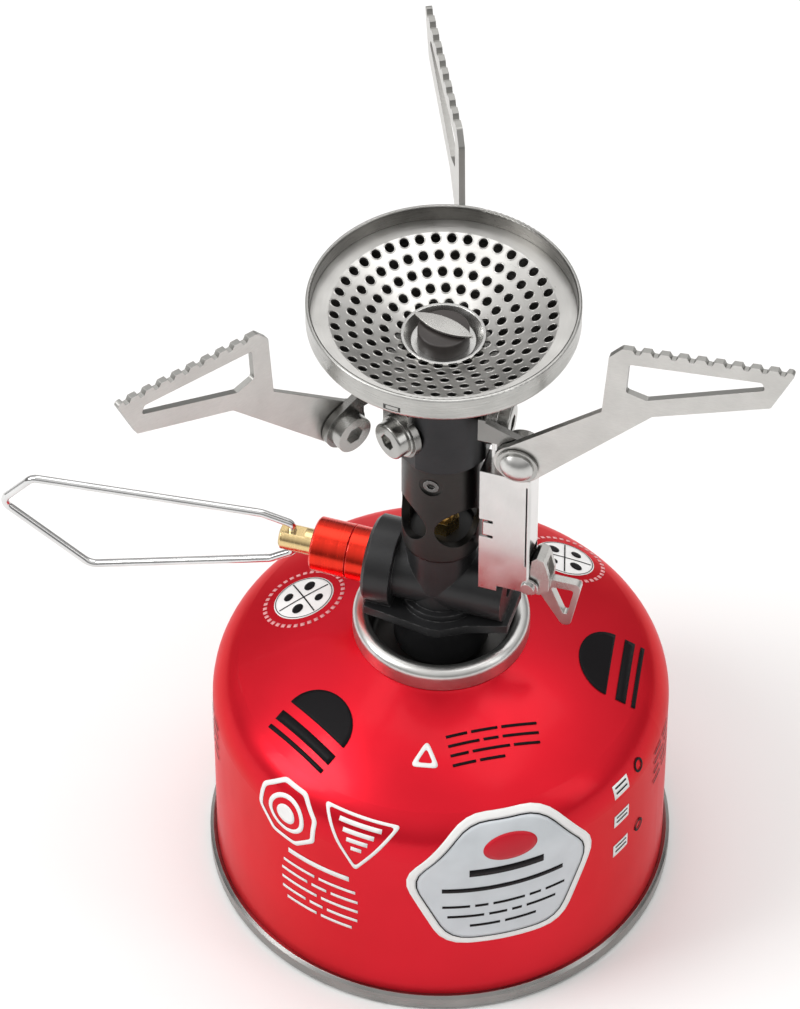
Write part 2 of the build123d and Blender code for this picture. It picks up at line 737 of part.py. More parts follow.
with BuildPart() as valve_spindle:
    with BuildSketch(Plane.YZ.offset(spindle_x0)):
        with Locations((0, valve_z)):
            Circle(spindle_r)
    extrude(amount=spindle_x1 - spindle_x0)
    chamfer(valve_spindle.faces().sort_by(Axis.X)[0].edges(), length=0.4)
    # needle
    with BuildSketch(Plane.YZ.offset(spindle_x1)):
        with Locations((0, valve_z)):
            Circle(2.3)
    extrude(amount=3.2, taper=28)
    # shallow flats above and below, where the wire comes out
    for side in (1, -1):
        with BuildSketch(Plane.XZ.offset(-spindle_r)):
            with Locations((spindle_x0 + 2.5, valve_z + side * (spindle_r + 0.65))):
                Rectangle(5.0, 2.0)
        extrude(amount=2 * spindle_r, mode=Mode.SUBTRACT)
    with BuildSketch(Plane.XY.offset(valve_z)):
        with Locations((handle_pivot_x, 0)):
            Circle(wire_r + run_clear)
    extrude(amount=5, both=True, mode=Mode.SUBTRACT)
valve_spindle.part.label = "valve_spindle"
export_step(valve_spindle.part, "parts/valve_spindle.step")

# bent wire loop whose two ends enter the spindle's cross hole
with BuildPart() as wire_handle:
    loop_plane = Plane(
        origin=(handle_pivot_x, 0, valve_z),
        x_dir=outward(180 + handle_swing),
        z_dir=outward(90 + handle_swing),
    )
    with BuildLine(loop_plane):
        wire = FilletPolyline(
            (0, 0.4), (0, 3.9), (6.0, 5.9), (51.4, 7.3), (58.0, -0.2),
            (40.7, -15.4), (4.5, -6.8), (0, -3.9), (0, -0.4),
            radius=[1.2, 2.5, 2.5, 2.2, 3.0, 2.5, 1.2],
        )
    with BuildSketch(Plane(origin=wire @ 0, z_dir=wire % 0)):
        Circle(wire_r)
    sweep()
wire_handle.part.label = "wire_handle"
export_step(wire_handle.part, "parts/wire_handle.step")

# ------------------------------------------------------------------ spark igniter
box_mid_x, box_mid_y = (box_x0 + box_x1) / 2, (box_y0 + box_y1) / 2
inner_width = box_y1 - box_y0 - 2 * box_sheet
with BuildPart() as igniter_bracket:
    # folded channel: front, outer and back walls with a lid, open towards the column
    with BuildSketch(Plane.XY.offset(box_z0)):
        with Locations((box_mid_x, box_mid_y)):
            Rectangle(box_x1 - box_x0, box_y1 - box_y0)
    extrude(amount=box_z1 - box_z0)
    outer_folds = igniter_bracket.edges().filter_by(Axis.Z).group_by(Axis.X)[-1]
    fillet(outer_folds, radius=0.5)
    with BuildSketch(Plane.XY.offset(box_z0)):
        with Locations((box_mid_x - box_sheet, box_mid_y)):
            Rectangle(box_x1 - box_x0, inner_width)
    extrude(amount=box_z1 - box_z0 - box_sheet, mode=Mode.SUBTRACT)
    # ear clamped under the head of the first bracket screw
    with BuildSketch(facing_plane(support_angles[0], washer_z0)):
        with Locations((-0.6, (box_z1 - box_sheet + bracket_screw_z) / 2)):
            Rectangle(6.4, bracket_screw_z - box_z1 + box_sheet)
        with Locations((0, bracket_screw_z)):
            Circle(3.9)
            Circle(2.0, mode=Mode.SUBTRACT)
    extrude(amount=screw_seat - washer_z0)
    # opening for the lever at the lower outer corner, and the short back wall
    with BuildSketch(Plane.YZ.offset(box_x1 - 2 * box_sheet)):
        with Locations((box_mid_y, box_z0 + 5.6)):
            Rectangle(inner_width, 11.2)
    extrude(amount=3, mode=Mode.SUBTRACT)
    with BuildSketch(Plane.XZ.offset(-box_y1 - 1)):
        with Locations((box_mid_x - 2, (box_z0 + box_back_z0) / 2)):
            Rectangle(box_x1 - box_x0, box_back_z0 - box_z0)
    extrude(amount=3, mode=Mode.SUBTRACT)
    # front wall: two slots with a set-back tab, cut-out at the foot, open seam
    with BuildSketch(Plane.XZ.offset(-box_y0 - 1.5 * box_sheet)):
        for slot_z in (101.5, 97.4):
            with Locations((box_x0 + 0.9, slot_z)):
                Rectangle(3.6, 0.7)
        with Locations((box_x0, 99.45)):
            Rectangle(1.6, 4.1)
        with Locations((box_x1 - 3.2, box_z0)):
            Rectangle(6.4, 2.8)
        with Locations((box_x1 - 0.75, 102.2)):
            Rectangle(0.3, 22.0)
    extrude(amount=3, mode=Mode.SUBTRACT)
    # eyes for the lever pin
    for y in (box_y0, box_y1 - box_sheet):
        with BuildSketch(Plane.XZ.offset(-y - box_sheet)):
            with Locations((lever_x, lever_z)):
                Circle(2.0)
            with Locations((lever_x - 1.2, lever_z + 1)):
                Rectangle(2.4, 2.0)
        extrude(amount=box_sheet)
    with BuildSketch(Plane.XZ.offset(-10)):
        with Locations((lever_x, lever_z)):
            Circle(lever_pin_r)
    extrude(amount=20, mode=Mode.SUBTRACT)
igniter_bracket.part.label = "igniter_bracket"
export_step(igniter_bracket.part, "parts/igniter_bracket.step")

# moulded striker unit with a blind bore for its plunger
with BuildPart() as striker_body:
    with BuildSketch(Plane.XY.offset(striker_z0)):
        with Locations(((striker_x0 + striker_x1) / 2, box_mid_y)):
            RectangleRounded(striker_x1 - striker_x0, inner_width - 0.1, 0.6)
    extrude(amount=striker_z1 - striker_z0)
    with BuildSketch(Plane.XY.offset(striker_z0)):
        with Locations((plunger_x, box_mid_y)):
            Circle(plunger_r + run_clear)
    extrude(amount=17.0, mode=Mode.SUBTRACT)
striker_body.part.label = "striker_body"
export_step(striker_body.part, "parts/striker_body.step")

with BuildPart() as striker_plunger:
    with BuildSketch(Plane.XY.offset(plunger_z0 + 1.6)):
        with Locations((plunger_x, box_mid_y)):
            Circle(plunger_r)
    extrude(amount=plunger_z1 - plunger_z0 - 1.6)
    with BuildSketch(Plane.XY.offset(plunger_z0)):
        with Locations((plunger_x, box_mid_y)):
            Circle(1.3)
    extrude(amount=1.6)
    fillet(striker_plunger.edges().group_by(Axis.Z)[0], radius=1.0)
striker_plunger.part.label = "striker_plunger"
export_step(striker_plunger.part, "parts/striker_plunger.step")

striker_spring = coil_spring(
    Plane(origin=(plunger_x, box_mid_y, plunger_z1 + 0.35), z_dir=(0, 0, 1)), 5, 1.3, 1.25, 0.3
)
striker_spring.part.label = "striker_spring"
export_step(striker_spring.part, "parts/striker_spring.step")

with BuildPart() as lever_pin:
    with BuildSketch(Plane.XZ.offset(-box_y1)):
        with Locations((lever_x, lever_z)):
            Circle(lever_pin_r)
    extrude(amount=box_y1 - box_y0)
    for y in (box_y0, box_y1 + 0.5):
        with BuildSketch(Plane.XZ.offset(-y)):
            with Locations((lever_x, lever_z)):
                Circle(1.35)
        extrude(amount=0.5)
lever_pin.part.label = "lever_pin"
export_step(lever_pin.part, "parts/lever_pin.step")

# trigger lever: channel-shaped body on the pin, tongue under the plunger, finger loop
with BuildPart() as trigger_lever:
    body_half_y = inner_width / 2 - 0.3
    with BuildSketch(Plane.XZ.offset(-box_mid_y - body_half_y)):
        with Locations((lever_x, lever_z)):
            Circle(1.9)
        with BuildLine():
            Polyline(
                (lever_x - 0.4, lever_z + 0.4), (19.3, 92.3), (20.3, 93.3), (21.6, 92.8), (22.2, 91.2),
                (22.9, 88.2), (22.7, 84.8), (20.9, 83.2), (lever_x + 0.5, lever_z - 1.8), close=True,
            )
        make_face()
        with BuildLine():
            Polyline(
                (lever_x, lever_z - 1.9), (lever_x - 3.9, lever_z - 1.9), (lever_x - 3.9, lever_z - 0.6),
                (lever_x, lever_z - 0.6), close=True,
            )
        make_face()
    extrude(amount=2 * body_half_y)
    # hollow of the channel, open outward
    with BuildSketch(Plane.XZ.offset(-box_mid_y - body_half_y + 0.8)):
        with Locations((24.2, 89.2)):
            Rectangle(5.2, 4.6)
    extrude(amount=2 * (body_half_y - 0.8), mode=Mode.SUBTRACT)
    with BuildSketch(Plane.XZ.offset(-box_mid_y - 0.8)):
        with BuildLine():
            Polyline((20.4, 86.8), (28.9, 86.9), (26.4, 72.6), (20.0, 83.4), close=True)
        make_face()
        fillet(vertices().filter_by(lambda v: v.X > 24), radius=1.2)
        with BuildLine():
            FilletPolyline((22.8, 84.7), (27.4, 85.0), (25.9, 76.6), close=True, radius=0.5)
        make_face(mode=Mode.SUBTRACT)
    extrude(amount=1.6)
    with BuildSketch(Plane.XZ.offset(-10)):
        with Locations((lever_x, lever_z)):
            Circle(lever_pin_r + run_clear)
    extrude(amount=20, mode=Mode.SUBTRACT)
trigger_lever.part.label = "trigger_lever"
export_step(trigger_lever.part, "parts/trigger_lever.step")
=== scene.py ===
from math import cos, hypot, pi, radians, sin, sqrt

import bmesh
import bpy
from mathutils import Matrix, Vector


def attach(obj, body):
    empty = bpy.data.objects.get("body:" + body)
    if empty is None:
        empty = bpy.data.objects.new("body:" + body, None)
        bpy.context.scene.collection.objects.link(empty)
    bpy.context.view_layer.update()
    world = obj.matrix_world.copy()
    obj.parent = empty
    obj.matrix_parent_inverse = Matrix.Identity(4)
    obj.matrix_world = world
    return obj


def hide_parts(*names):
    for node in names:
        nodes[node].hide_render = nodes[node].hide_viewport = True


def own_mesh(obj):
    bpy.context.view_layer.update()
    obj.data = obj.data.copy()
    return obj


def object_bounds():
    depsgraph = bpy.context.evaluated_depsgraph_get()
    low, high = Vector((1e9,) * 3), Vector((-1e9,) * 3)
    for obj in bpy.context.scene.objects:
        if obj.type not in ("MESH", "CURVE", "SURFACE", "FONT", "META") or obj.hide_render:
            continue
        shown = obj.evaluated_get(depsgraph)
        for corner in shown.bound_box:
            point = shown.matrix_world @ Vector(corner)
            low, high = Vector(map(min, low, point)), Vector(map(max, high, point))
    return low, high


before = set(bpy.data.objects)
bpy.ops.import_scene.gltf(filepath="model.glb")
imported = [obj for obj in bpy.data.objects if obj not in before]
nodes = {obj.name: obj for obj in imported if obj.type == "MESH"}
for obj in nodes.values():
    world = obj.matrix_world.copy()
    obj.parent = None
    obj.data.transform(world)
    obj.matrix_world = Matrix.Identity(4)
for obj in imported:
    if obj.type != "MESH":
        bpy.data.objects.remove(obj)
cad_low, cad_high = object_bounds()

scene = bpy.context.scene
MM = 0.001

# the cosine between a face's normal and its rounded normal, where an edge starts to look worn
# and where it is fully worn
EDGE_STARTS, EDGE_FULL = 0.985, 0.86

# the CAD's own measures that materials and details follow: metres, and azimuths in degrees
WALL_R, WALL_TOP = 0.045, 0.0435
SHOULDER_R, SHOULDER_TURN = 0.011, radians(58)
DOME_INNER = Vector((0.0156, 0.0630))
# the canister's paint gets darker towards its foot as painted shade, starting at the first height
# and fullest at the second
FOOT_SHADE_START_Z, FOOT_SHADE_FULL_Z = 0.0062, 0.0030
WELL_R_OUT, WELL_R_IN = 0.0150, 0.0142
# the burner cup's inner wall turns to near-black painted shadow from the dish's edge down to the
# second height
DISH_EDGE_Z, UNDER_DISH_SHADE_Z = 0.1488, 0.1484
RIM_R, NOTCH_LOW_Z, NOTCH_HIGH_Z = 0.0255, 0.1480, 0.1492
SUPPORT_AZIMUTHS = (1.5, 117.9, 237.2)


# ---------------------------------------------------------------- shader helpers
class Shader:
    """One node material on the object's own coordinates, built a call at a time."""

    def __init__(self, name):
        self.mat = bpy.data.materials.new(name)
        self.mat.use_nodes = True
        self.tree = self.mat.node_tree
        self.bsdf = self.tree.nodes["Principled BSDF"]
        self.coord = self.add("ShaderNodeTexCoord").outputs["Object"]

    def add(self, kind, **settings):
        node = self.tree.nodes.new(kind)
        for key, value in settings.items():
            setattr(node, key, value)
        return node

    def plug(self, value, socket):
        if isinstance(value, bpy.types.NodeSocket):
            self.tree.links.new(value, socket)
        else:
            socket.default_value = value

    def math(self, operation, a, b=0.0, clamp=False):
        node = self.add("ShaderNodeMath", operation=operation, use_clamp=clamp)
        self.plug(a, node.inputs[0])
        self.plug(b, node.inputs[1])
        return node.outputs[0]

    def split(self, vector):
        node = self.add("ShaderNodeSeparateXYZ")
        self.plug(vector, node.inputs[0])
        return node.outputs

    def join(self, x, y, z):
        node = self.add("ShaderNodeCombineXYZ")
        for value, socket in zip((x, y, z), node.inputs):
            self.plug(value, socket)
        return node.outputs[0]

    def scaled(self, vector, scale):
        node = self.add("ShaderNodeVectorMath", operation="MULTIPLY")
        self.plug(vector, node.inputs[0])
        node.inputs[1].default_value = scale
        return node.outputs[0]

    def lathe(self, around, radial, height):
        """Coordinates of a turned surface: angle, radius and height, each with its own scale."""
        x, y, z = self.split(self.coord)
        angle = self.math("ARCTAN2", y, x)
        return self.join(
            self.math("MULTIPLY", angle, around),
            self.math("MULTIPLY", self.length(x, y), radial),
            self.math("MULTIPLY", z, height),
        )

    def length(self, x, y):
        squares = self.math("MULTIPLY", x, x), self.math("MULTIPLY", y, y)
        return self.math("SQRT", self.math("ADD", *squares))

    def dot(self, a, b):
        node = self.add("ShaderNodeVectorMath", operation="DOT_PRODUCT")
        self.plug(a, node.inputs[0])
        self.plug(b, node.inputs[1])
        return node.outputs["Value"]

    def noise(self, vector, scale=1.0, detail=3.0, rough=0.5):
        node = self.add("ShaderNodeTexNoise")
        self.plug(vector, node.inputs["Vector"])
        node.inputs["Scale"].default_value = scale
        node.inputs["Detail"].default_value = detail
        node.inputs["Roughness"].default_value = rough
        return node.outputs["Fac"]

    def remap(self, value, low, high, to_low=0.0, to_high=1.0):
        node = self.add("ShaderNodeMapRange")
        self.plug(value, node.inputs["Value"])
        limits = {"From Min": low, "From Max": high, "To Min": to_low, "To Max": to_high}
        for key, number in limits.items():
            node.inputs[key].default_value = number
        return node.outputs["Result"]

    def mottle(self, pattern, color, dark, light):
        """The colour, darker and lighter by two factors as a noise pattern says."""
        return self.blend(self.remap(pattern, 0.3, 0.7), shade(color, dark), shade(color, light))

    def blend(self, factor, first, second):
        node = self.add("ShaderNodeMix", data_type="RGBA")
        self.plug(factor, node.inputs["Factor"])
        self.plug(rgba(first), node.inputs["A"])
        self.plug(rgba(second), node.inputs["B"])
        return node.outputs["Result"]

    def edge(self, radius):
        """1 on worn outer edges, 0 on faces, and the rounded normal that goes with it."""
        bevel = self.add("ShaderNodeBevel", samples=4)
        bevel.inputs["Radius"].default_value = radius
        flat = self.add("ShaderNodeNewGeometry").outputs["Normal"]
        agreement = self.dot(bevel.outputs[0], flat)
        return self.remap(agreement, EDGE_STARTS, EDGE_FULL), bevel.outputs[0]

    def relief(self, height, strength, distance, normal=None):
        bump = self.add("ShaderNodeBump")
        self.plug(height, bump.inputs["Height"])
        bump.inputs["Strength"].default_value = strength
        bump.inputs["Distance"].default_value = distance
        if normal is not None:
            self.plug(normal, bump.inputs["Normal"])
        return bump.outputs["Normal"]

    def finish(self, color, roughness, normal=None, **constants):
        self.plug(rgba(color), self.bsdf.inputs["Base Color"])
        self.plug(roughness, self.bsdf.inputs["Roughness"])
        if normal is not None:
            self.plug(normal, self.bsdf.inputs["Normal"])
        for key, value in constants.items():
            self.bsdf.inputs[key.replace("_", " ")].default_value = value
        return self.mat


def rgba(color):
    if isinstance(color, tuple) and len(color) == 3:
        return (*color, 1.0)
    return color


def shade(color, factor):
    return tuple(min(1.0, c * factor) for c in color)


# ---------------------------------------------------------------- materials
def satin_metal(name, color, rough, grain, bump=0.12, spread=0.10, edge_radius=0.00018, shine=1.15):
    """Worked sheet metal: fine grain, faint stains, brighter rounded edges."""
    s = Shader(name)
    vector = grain(s)
    fine = s.noise(vector, 1.0, 4.0, 0.6)
    cloud = s.noise(s.coord, 130.0, 2.0, 0.5)
    worn, rounded = s.edge(edge_radius)
    tone = s.mottle(cloud, color, 0.86, 1.06)
    tone = s.blend(s.math("MULTIPLY", s.remap(fine, 0.35, 0.7), 0.16), tone, shade(color, 0.7))
    tone = s.blend(worn, tone, shade(color, shine))
    rough_map = s.math("ADD", s.remap(fine, 0.3, 0.7, rough - spread / 2, rough + spread / 2),
                       s.remap(cloud, 0.35, 0.65, -0.03, 0.03))
    normal = s.relief(fine, bump, 0.00004, rounded)
    return s.finish(tone, rough_map, normal, Metallic=1.0)


def turned_metal(name, color, rough, rings, bump=0.15, spread=0.12):
    """Metal turned about the column axis, with tool rings that run round it."""
    def grain(s):
        return s.lathe(6.0, rings, rings)
    return satin_metal(name, color, rough, grain, bump, spread, 0.0002)


def turned_x_metal(name, color, rough, rings=6500.0, bump=0.2):
    """Metal turned about the valve axis, so that its tool rings follow X."""
    s = Shader(name)
    ring = s.noise(s.scaled(s.coord, (rings, 60.0, 60.0)), 1.0, 3.0)
    cloud = s.noise(s.coord, 420.0, 2.0)
    worn, rounded = s.edge(0.0002)
    tone = s.mottle(ring, color, 0.9, 1.05)
    tone = s.blend(s.math("MULTIPLY", worn, 0.35), tone, tuple(0.5 * c + 0.5 for c in color))
    rough_map = s.math("ADD", s.remap(ring, 0.3, 0.7, rough - 0.03, rough + 0.04),
                       s.remap(cloud, 0.3, 0.7, -0.02, 0.02))
    return s.finish(tone, rough_map, s.relief(ring, bump, 0.00003, rounded), Metallic=1.0)


def coated(name, color, rough, grain_scale, bump, worn_color, worn_amount, metallic=0.0):
    """Paint, plastic or a dark metal coating: fine cast grain, faint handling marks, worn edges."""
    s = Shader(name)
    grain = s.noise(s.coord, grain_scale, 3.0, 0.6)
    cloud = s.noise(s.coord, 90.0, 4.0, 0.6)
    worn, rounded = s.edge(0.0003)
    patches = s.remap(s.noise(s.coord, 900.0, 3.0), 0.45, 0.62)
    ragged = s.math("MULTIPLY", worn, patches, clamp=True)
    tone = s.mottle(cloud, color, 0.8, 1.25)
    tone = s.blend(s.math("MULTIPLY", ragged, worn_amount), tone, worn_color)
    rough_map = s.math("ADD", s.remap(grain, 0.3, 0.7, rough - 0.05, rough + 0.06),
                       s.remap(cloud, 0.3, 0.7, -0.04, 0.05))
    return s.finish(tone, rough_map, s.relief(grain, bump, 0.00005, rounded), Metallic=metallic)


def can_paint(name):
    """Deep red lacquer over drawn tinplate, a little paler where it has rubbed, with painted shade
    darkening it towards its foot.
    """
    s = Shader(name)
    z = s.split(s.coord)[2]
    peel = s.noise(s.coord, 900.0, 2.0, 0.5)
    slow = s.noise(s.coord, 34.0, 2.0, 0.5)
    drawn = s.noise(s.scaled(s.coord, (120.0, 120.0, 45.0)), 1.0, 2.0, 0.5)
    specks = s.remap(s.noise(s.coord, 1500.0, 4.0, 0.7), 0.735, 0.76)
    scuff = s.math("MULTIPLY", specks, s.remap(s.noise(s.coord, 60.0, 2.0), 0.5, 0.7), clamp=True)
    tone = s.blend(s.remap(slow, 0.3, 0.7), (0.62, 0.009, 0.020), (0.70, 0.012, 0.027))
    tone = s.blend(s.math("MULTIPLY", scuff, 0.5), tone, (0.80, 0.10, 0.11))
    # painted shade: the paint darkens towards the floor
    foot_shade = s.remap(z, FOOT_SHADE_START_Z, FOOT_SHADE_FULL_Z, 0.0, 0.35)
    tone = s.blend(foot_shade, tone, (0.30, 0.003, 0.008))
    height = s.math("ADD", s.math("MULTIPLY", peel, 0.2), s.math("MULTIPLY", drawn, 0.5))
    rough_map = s.math("ADD", s.remap(drawn, 0.3, 0.7, 0.30, 0.38), s.math("MULTIPLY", scuff, 0.2))
    return s.finish(tone, rough_map, s.relief(height, 0.05, 0.00025), Metallic=0.60,
                    Coat_Weight=0.12, Coat_Roughness=0.12, Specular_IOR_Level=0.2,
                    Specular_Tint=(1.0, 0.22, 0.25, 1.0))


def printed(name, color, rough=0.36, metallic=0.0, gloss=0.3):
    """Screen print: slightly uneven ink with tiny pinholes."""
    s = Shader(name)
    ink = s.noise(s.coord, 1900.0, 3.0, 0.6)
    cloud = s.noise(s.coord, 160.0, 2.0)
    tone = s.mottle(cloud, color, 0.93, 1.03)
    tone = s.blend(s.remap(ink, 0.7, 0.78, 0.0, 0.5), tone, shade(color, 0.75))
    rough_map = s.remap(ink, 0.3, 0.7, rough - 0.05, rough + 0.08)
    return s.finish(tone, rough_map, s.relief(ink, 0.06, 0.00002), Metallic=metallic,
                    Specular_IOR_Level=gloss)


def sheet_arm(name, azimuth):
    """Blanked sheet that stands at an azimuth: satin brushed faces, darker sheared edges."""
    s = Shader(name)
    face_color, edge_color = (0.60, 0.59, 0.57), (0.36, 0.355, 0.34)
    side = Vector((-sin(radians(azimuth)), cos(radians(azimuth)), 0))
    along = Vector((cos(radians(azimuth)), sin(radians(azimuth)), 0))
    run, depth = (s.dot(s.coord, direction * 900.0) for direction in (along, side))
    height = s.math("MULTIPLY", s.split(s.coord)[2], 5200.0)
    brushed = s.noise(s.join(run, depth, height), 1.0, 4.0, 0.65)
    pits = s.noise(s.coord, 2600.0, 3.0, 0.6)
    cloud = s.noise(s.coord, 110.0, 3.0)
    facing = s.dot(s.add("ShaderNodeNewGeometry").outputs["True Normal"], side)
    flat = s.remap(s.math("ABSOLUTE", facing), 0.8, 0.95)
    rounded = s.edge(0.00012)[1]
    tone = s.mottle(cloud, face_color, 0.9, 1.05)
    streaks = s.math("MULTIPLY", s.remap(brushed, 0.4, 0.7), 0.25)
    tone = s.blend(streaks, tone, shade(face_color, 0.72))
    tone = s.blend(flat, edge_color, tone)
    rough_map = s.math("ADD", s.remap(flat, 0.0, 1.0, 0.42, 0.33),
                       s.remap(brushed, 0.3, 0.7, -0.05, 0.06))
    grain = s.math("ADD", brushed, s.math("MULTIPLY", pits, 0.5))
    return s.finish(tone, rough_map, s.relief(grain, 0.10, 0.00004, rounded), Metallic=1.0)


def cup_metal(name):
    """Spun steel: satin outside, with painted shade on the inner wall and a near-black painted
    shadow in the hollow under the dish.
    """
    s = Shader(name)
    x, y, z = s.split(s.coord)
    fine = s.noise(s.lathe(6.0, 5200.0, 5200.0), 1.0, 4.0, 0.6)
    cloud = s.noise(s.coord, 120.0, 3.0, 0.55)
    worn, rounded = s.edge(0.00025)
    outward = s.dot(s.add("ShaderNodeNewGeometry").outputs["True Normal"], s.join(x, y, 0.0))
    inside = s.remap(outward, -0.002, -0.006)
    below = s.math("MULTIPLY", inside, s.remap(z, DISH_EDGE_Z, UNDER_DISH_SHADE_Z))
    tone = s.blend(s.remap(cloud, 0.3, 0.7), (0.43, 0.425, 0.41), (0.54, 0.535, 0.515))
    # painted shade: the cup's inner wall is a dark copy of the outside's steel
    inner_shade = s.blend(s.remap(cloud, 0.35, 0.65), (0.11, 0.107, 0.10), (0.19, 0.185, 0.175))
    tone = s.blend(inside, tone, inner_shade)
    # painted shadow: near black on the inner wall in the hollow under the dish
    tone = s.blend(below, tone, (0.02, 0.018, 0.016))
    tone = s.blend(s.math("MULTIPLY", s.remap(fine, 0.35, 0.7), 0.3), tone, (0.24, 0.235, 0.225))
    tone = s.blend(worn, tone, (0.66, 0.655, 0.64))
    rough_map = s.math("ADD", s.remap(fine, 0.3, 0.7, 0.24, 0.36), s.math("MULTIPLY", below, 0.4))
    return s.finish(tone, rough_map, s.relief(fine, 0.10, 0.00004, rounded), Metallic=1.0)


def valve_cup_metal(name):
    """Tinned steel of the valve cup: satin on the outer curl, painted near black down inside the
    cup as shade and as the reflection of the dark stove above it.
    """
    s = Shader(name)
    x, y = s.split(s.coord)[:2]
    fine = s.noise(s.coord, 2600.0, 3.0, 0.55)
    cloud = s.noise(s.coord, 150.0, 2.0)
    well_shade = s.remap(s.length(x, y), WELL_R_OUT, WELL_R_IN)
    tone = s.blend(s.remap(cloud, 0.3, 0.7), (0.60, 0.595, 0.58), (0.72, 0.715, 0.70))
    # painted shade and painted reflection of the dark stove: the inside of the cup turns near black
    tone = s.blend(well_shade, tone, (0.10, 0.098, 0.095))
    rough_map = s.math("ADD", s.remap(well_shade, 0.0, 1.0, 0.32, 0.5),
                       s.remap(fine, 0.3, 0.7, -0.03, 0.04))
    return s.finish(tone, rough_map, s.relief(fine, 0.04, 0.00003), Metallic=1.0)


def steel_grain(s):
    """Grain without a direction, too fine to see as grain."""
    return s.scaled(s.coord, (9000.0, 9000.0, 9000.0))


def upright_grain(s):
    """Grain drawn out along Z, as on brushed sheet."""
    return s.scaled(s.coord, (5200.0, 5200.0, 500.0))


red_paint = can_paint("red_paint")
seam_steel = turned_metal("seam_steel", (0.33, 0.325, 0.315), 0.30, 4200.0)
curl_steel = valve_cup_metal("curl_steel")
cast_dark = coated("cast_dark", (0.019, 0.019, 0.020), 0.37, 2600.0, 0.22,
                   (0.20, 0.20, 0.20), 0.55, 0.3)
tube_dark = turned_metal("tube_dark", (0.046, 0.044, 0.042), 0.40, 3000.0, 0.10, 0.08)
collar_dark = turned_metal("collar_dark", (0.042, 0.042, 0.044), 0.36, 3000.0, 0.10, 0.08)
cup_steel = cup_metal("cup_steel")
dish_steel = turned_metal("dish_steel", (0.60, 0.59, 0.57), 0.34, 2600.0, 0.05, 0.10)
bright_steel = satin_metal("bright_steel", (0.66, 0.655, 0.64), 0.22, steel_grain, 0.02, 0.05)
bolt_steel = satin_metal("bolt_steel", (0.44, 0.435, 0.42), 0.24, steel_grain, 0.02, 0.05)
box_steel = satin_metal("box_steel", (0.72, 0.71, 0.70), 0.20, upright_grain, 0.05, 0.06)
electrode_steel = satin_metal("electrode_steel", (0.56, 0.55, 0.53), 0.27, steel_grain,
                              0.02, 0.05, 0.00015, 1.4)
rivet_steel = satin_metal("rivet_steel", (0.64, 0.635, 0.62), 0.31, steel_grain, 0.05, 0.08)
bracket_steel = satin_metal("bracket_steel", (0.27, 0.265, 0.255), 0.26, steel_grain,
                            0.02, 0.05, 0.00015, 1.6)
screw_dark = satin_metal("screw_dark", (0.15, 0.148, 0.145), 0.28, steel_grain,
                         0.08, 0.10, 0.00015, 3.5)
wire_steel = satin_metal("wire_steel", (0.74, 0.74, 0.74), 0.14, steel_grain, 0.05, 0.06, 0.0001)
spring_steel = satin_metal("spring_steel", (0.50, 0.50, 0.51), 0.28, steel_grain, 0.08)
brass = turned_x_metal("brass", (0.80, 0.60, 0.30), 0.24)
jet_brass = turned_metal("jet_brass", (0.72, 0.50, 0.20), 0.26, 4000.0)
anodised = turned_x_metal("anodised", (0.84, 0.040, 0.022), 0.25, 1300.0, 0.012)
ceramic = coated("ceramic", (0.034, 0.028, 0.026), 0.45, 2200.0, 0.15, (0.20, 0.18, 0.16), 0.5)
black_plastic = coated("black_plastic", (0.018, 0.018, 0.019), 0.45, 2400.0, 0.15,
                       (0.05, 0.05, 0.05), 0.4)
nylon = coated("nylon", (0.70, 0.68, 0.62), 0.45, 2000.0, 0.10, (0.80, 0.79, 0.75), 0.4)
rubber = coated("rubber", (0.016, 0.016, 0.017), 0.62, 1800.0, 0.25, (0.03, 0.03, 0.03), 0.3)
lever_steel = satin_metal("lever_steel", (0.60, 0.585, 0.565), 0.30, steel_grain,
                          0.02, 0.05, 0.0002, 1.2)

look = {
    "canister_shell": red_paint, "canister_base": seam_steel, "valve_cup": curl_steel,
    "canister_gasket": rubber, "canister_stem": nylon, "canister_valve_housing": nylon,
    "canister_spring": spring_steel, "canister_connector": jet_brass, "depressor_pin": jet_brass,
    "regulator_body": cast_dark, "regulator_cap": cast_dark, "regulator_diaphragm": rubber,
    "regulator_spring": spring_steel, "connector_seal": rubber, "gas_jet": jet_brass,
    "valve_spindle": brass, "spindle_seal": rubber, "valve_sleeve": anodised,
    "sleeve_ring": anodised, "wire_handle": wire_steel,
    "mixing_tube": tube_dark, "tube_set_screw": screw_dark, "burner_collar": collar_dark,
    "burner_cup": cup_steel, "burner_dish": dish_steel,
    "igniter_insulator": ceramic, "igniter_ferrule": bright_steel,
    "igniter_electrode": electrode_steel, "igniter_bracket": box_steel,
    "striker_body": black_plastic, "striker_plunger": black_plastic,
    "striker_spring": spring_steel, "trigger_lever": lever_steel, "lever_pin": bright_steel,
    "pivot_bolts": rivet_steel, "pivot_nuts": bolt_steel, "pivot_washers": bolt_steel,
    "bracket_screws": bolt_steel, "bracket_washers": bolt_steel,
}
for k, azimuth in enumerate(SUPPORT_AZIMUTHS, 1):
    look[f"pot_support_{k}"] = sheet_arm(f"support_steel_{k}", azimuth)
    look[f"support_bracket_{k}"] = bracket_steel
for name, piece in nodes.items():
    piece.data.materials.clear()
    piece.data.materials.append(look[name])

# the striker spring, copied with a mesh of its own in place of the hidden CAD spring; the real
# spring shortens as the lever lifts the plunger
coil = bpy.data.objects.new("striker_coil", nodes["striker_spring"].data.copy())
scene.collection.objects.link(coil)
coil.matrix_world = nodes["striker_spring"].matrix_world
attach(coil, "stove")
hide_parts("striker_spring")
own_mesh(coil)


